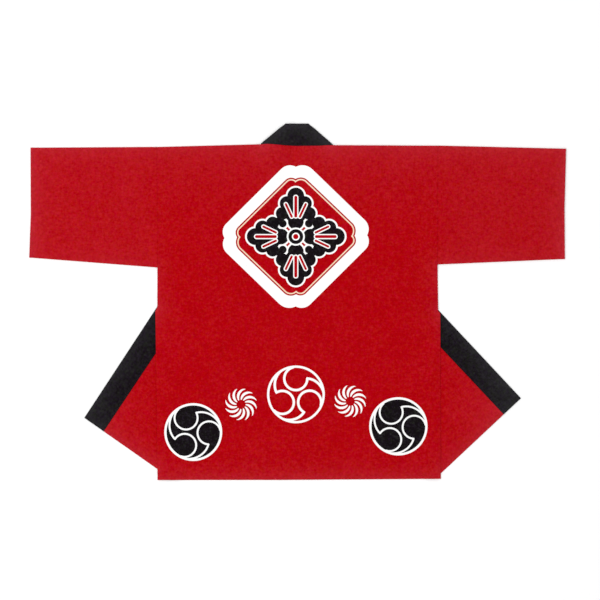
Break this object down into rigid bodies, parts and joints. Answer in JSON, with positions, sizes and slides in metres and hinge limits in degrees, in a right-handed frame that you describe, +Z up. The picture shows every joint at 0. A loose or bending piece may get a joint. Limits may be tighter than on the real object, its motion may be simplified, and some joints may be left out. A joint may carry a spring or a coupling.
{
  "type": "happi coat",
  "caption": "Short festival coat laid flat with its back up: straight sleeves spread, both fronts turned outward underneath, wide black collar band.",
  "frame": {"origin": "on the surface that the coat lies on, under the middle of its outline", "axes": "+X towards the sleeve on the right as seen from above, +Y towards the collar, +Z up out of the back"},
  "size_m": [1.2774, 0.8498, 0.006],
  "materials": {
    "printed_cotton": "plain-weave red cotton printed in black and white",
    "red_cotton": "plain-weave red cotton, matt",
    "black_cotton": "doubled plain-weave black cotton, matt"
  },
  "bodies": {
    "root": {"back_panel": "printed_cotton", "front_left": "printed_cotton", "front_right": "printed_cotton", "sleeve_left": "red_cotton", "sleeve_right": "red_cotton", "collar": "black_cotton"}
  },
  "joints": []
}
